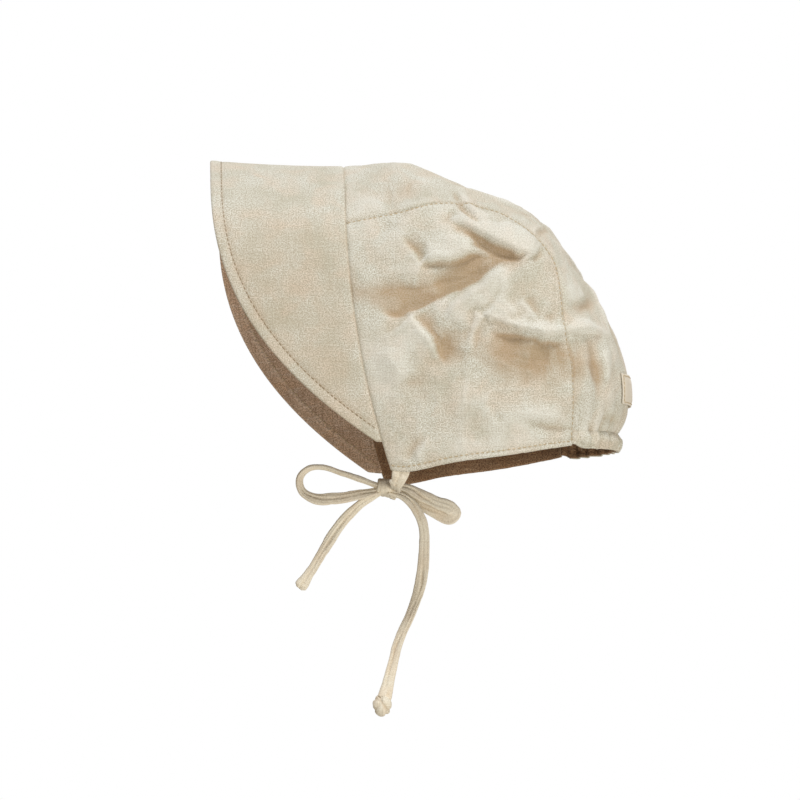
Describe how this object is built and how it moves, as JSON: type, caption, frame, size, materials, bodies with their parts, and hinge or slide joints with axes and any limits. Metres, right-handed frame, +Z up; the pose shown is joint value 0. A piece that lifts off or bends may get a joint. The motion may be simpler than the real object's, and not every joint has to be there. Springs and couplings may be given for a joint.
{
  "type": "reversible baby bonnet",
  "caption": "Reversible baby bonnet in cream linen-cotton with a brown lining, a stiff brim, a gathered nape and a chin tie in a bow.",
  "frame": {"origin": "inside of the top of the crown, where the wearer's head carries the bonnet", "axes": "+Z up, -Y towards the face and brim, +X towards the wearer's left"},
  "size_m": [0.131, 0.2407, 0.3163],
  "materials": {
    "cream_linen": "matte",
    "brown_linen": "matte",
    "tie_linen": "matte",
    "woven_tape": "satin"
  },
  "bodies": {
    "root": {"crown_center": "cream_linen", "crown_side_left": "cream_linen", "crown_side_right": "cream_linen", "lining_center": "brown_linen", "lining_side_left": "brown_linen", "lining_side_right": "brown_linen", "brim_outer": "cream_linen", "brim_lining": "brown_linen", "nape_casing": "cream_linen", "nape_casing_lining": "brown_linen", "back_label": "woven_tape", "tie_root_left": "tie_linen", "tie_root_right": "tie_linen", "bow_knot": "tie_linen", "tie_left": "tie_linen", "tie_right": "tie_linen", "bow_loop_front": "tie_linen", "bow_loop_back": "tie_linen", "tie_tail_front": "tie_linen", "tie_tail_back": "tie_linen", "tail_knot_front": "tie_linen", "tail_knot_back": "tie_linen"}
  },
  "joints": []
}
